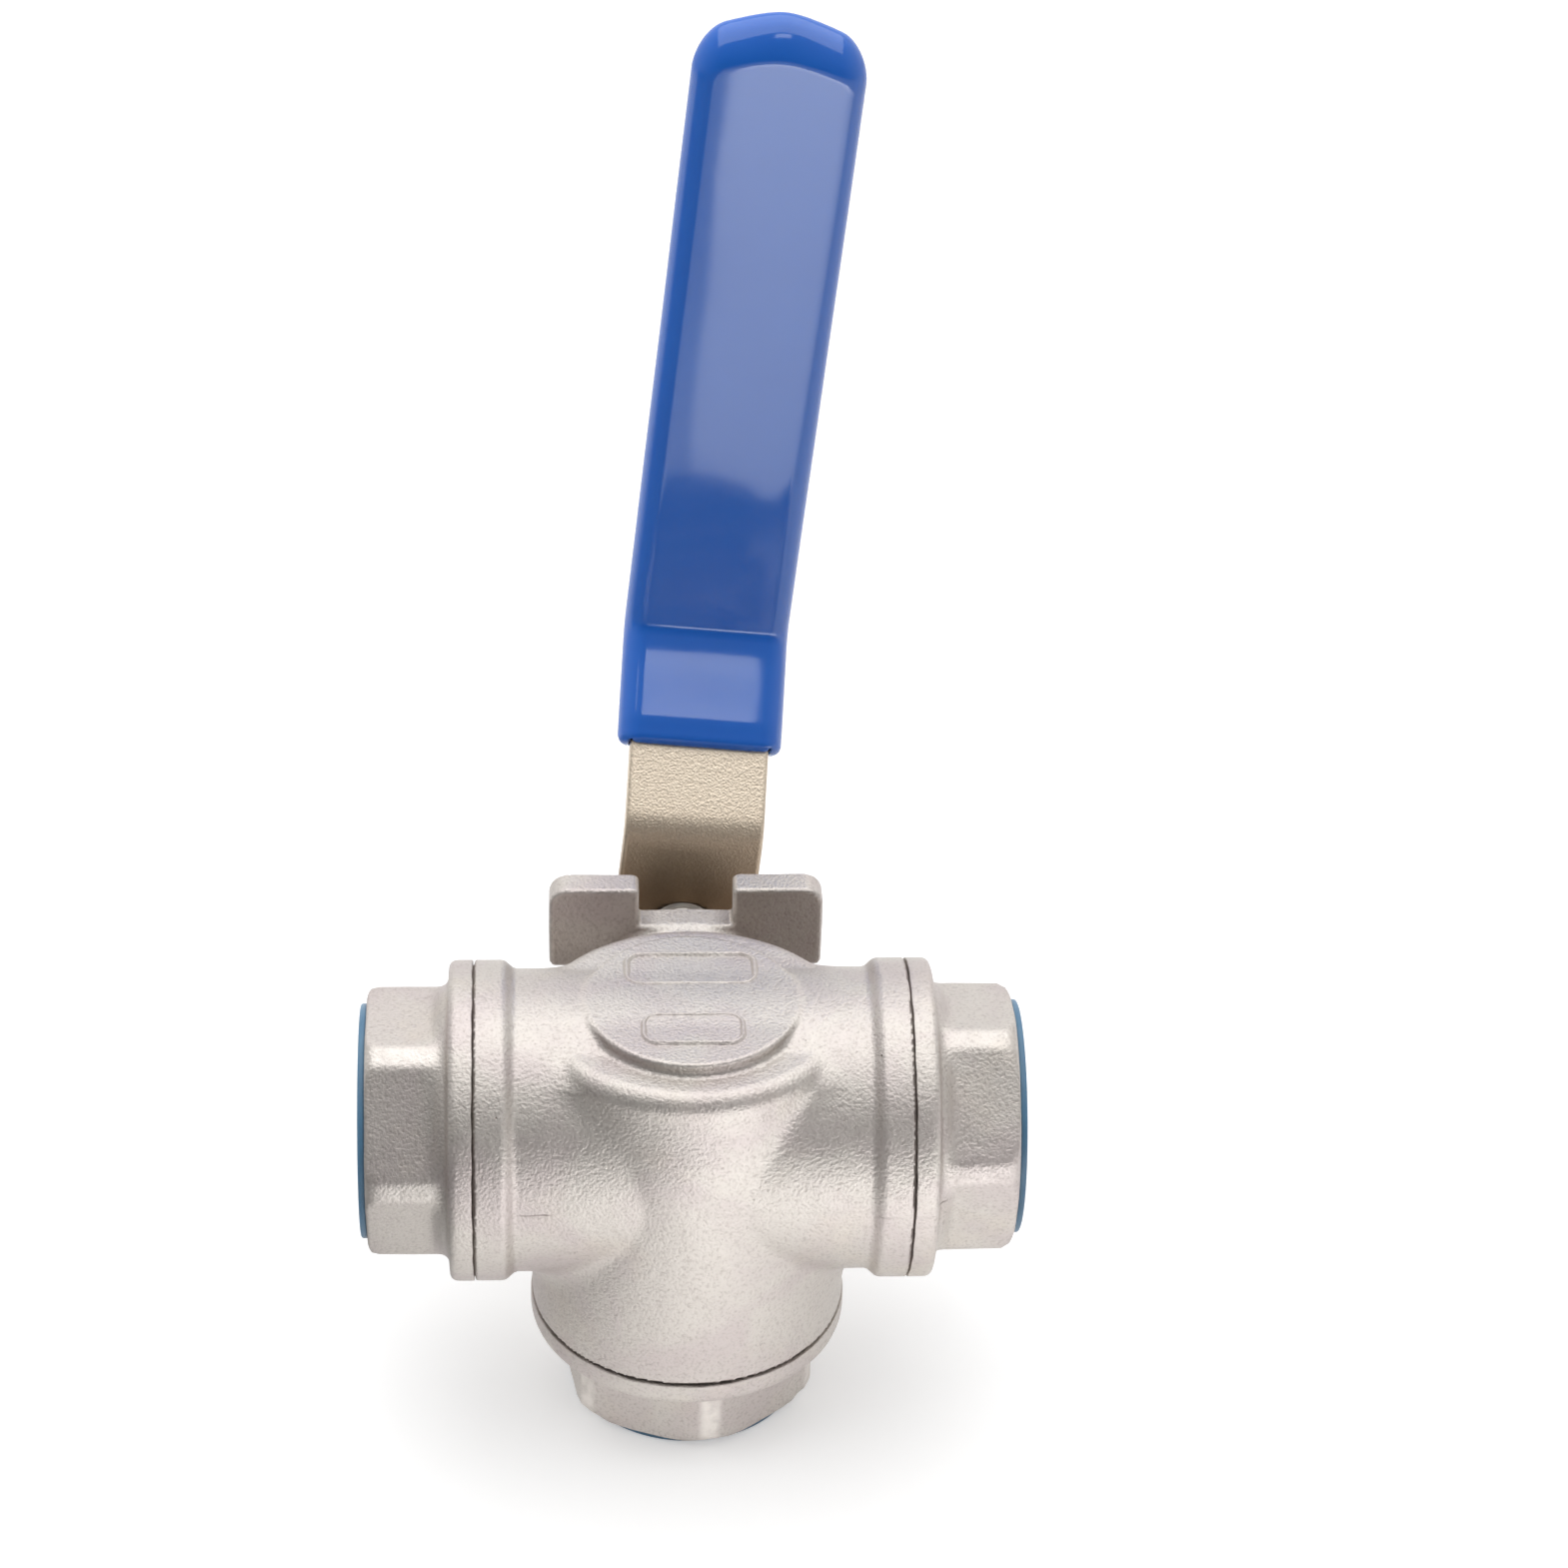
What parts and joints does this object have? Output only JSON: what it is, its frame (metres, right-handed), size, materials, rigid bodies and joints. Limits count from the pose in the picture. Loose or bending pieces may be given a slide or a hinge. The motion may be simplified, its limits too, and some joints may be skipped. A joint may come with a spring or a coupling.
{
  "type": "three-way ball valve",
  "caption": "Cast three-way ball valve with threaded side and bottom ports, a closed bossed top, an actuator pad and a cranked lever in a soft sleeve.",
  "frame": {"origin": "on the third port's axis, on the outer face of the dust cap that closes it, which is the face the valve stands on", "axes": "+Z from the third port up to the closed, bossed side; +X out of the right-hand port; +Y along the stem to the lever"},
  "size_m": [0.0878, 0.0889, 0.1758],
  "materials": {
    "cast_steel": "bead-blasted investment casting",
    "machined_steel": "machined",
    "blasted_steel": "sand-blasted strip",
    "blue_vinyl": "dipped soft vinyl, glossy",
    "dust_cap_plastic": "moulded polyethylene",
    "ptfe": "machined PTFE"
  },
  "bodies": {
    "valve_body": {"body": "cast_steel", "end_cap_left": "cast_steel", "end_cap_right": "cast_steel", "end_cap_bottom": "cast_steel", "body_gasket_left": "ptfe", "body_gasket_right": "ptfe", "body_gasket_bottom": "ptfe", "seat_left": "ptfe", "seat_right": "ptfe", "seat_bottom": "ptfe", "seat_top": "ptfe", "stem_thrust_washer": "ptfe", "packing_ring_1": "ptfe", "packing_ring_2": "ptfe", "packing_ring_3": "ptfe", "gland_ring": "machined_steel", "disc_spring_lower": "machined_steel", "disc_spring_upper": "machined_steel"},
    "lever_and_ball": {"lever": "blasted_steel", "lever_sleeve": "blue_vinyl", "lever_nut": "machined_steel", "lever_washer": "machined_steel", "stem_nut": "machined_steel", "stem": "machined_steel", "ball": "machined_steel"},
    "left_dust_cap": {"dust_cap_left": "dust_cap_plastic"},
    "right_dust_cap": {"dust_cap_right": "dust_cap_plastic"},
    "bottom_dust_cap": {"dust_cap_bottom": "dust_cap_plastic"}
  },
  "joints": [
    {"name": "lever_turn", "type": "hinge", "parent": "valve_body", "child": "lever_and_ball", "pos_m": [0, 0, 0.0439], "axis": [0, 1, 0], "continuous": true},
    {"name": "dust_cap_left_pull", "type": "slide", "parent": "valve_body", "child": "left_dust_cap", "axis": [-1, 0, 0], "range_m": [0, 0.05]},
    {"name": "dust_cap_right_pull", "type": "slide", "parent": "valve_body", "child": "right_dust_cap", "axis": [1, 0, 0], "range_m": [0, 0.05]},
    {"name": "dust_cap_bottom_pull", "type": "slide", "parent": "valve_body", "child": "bottom_dust_cap", "axis": [0, 0, -1], "range_m": [0, 0.05]}
  ]
}
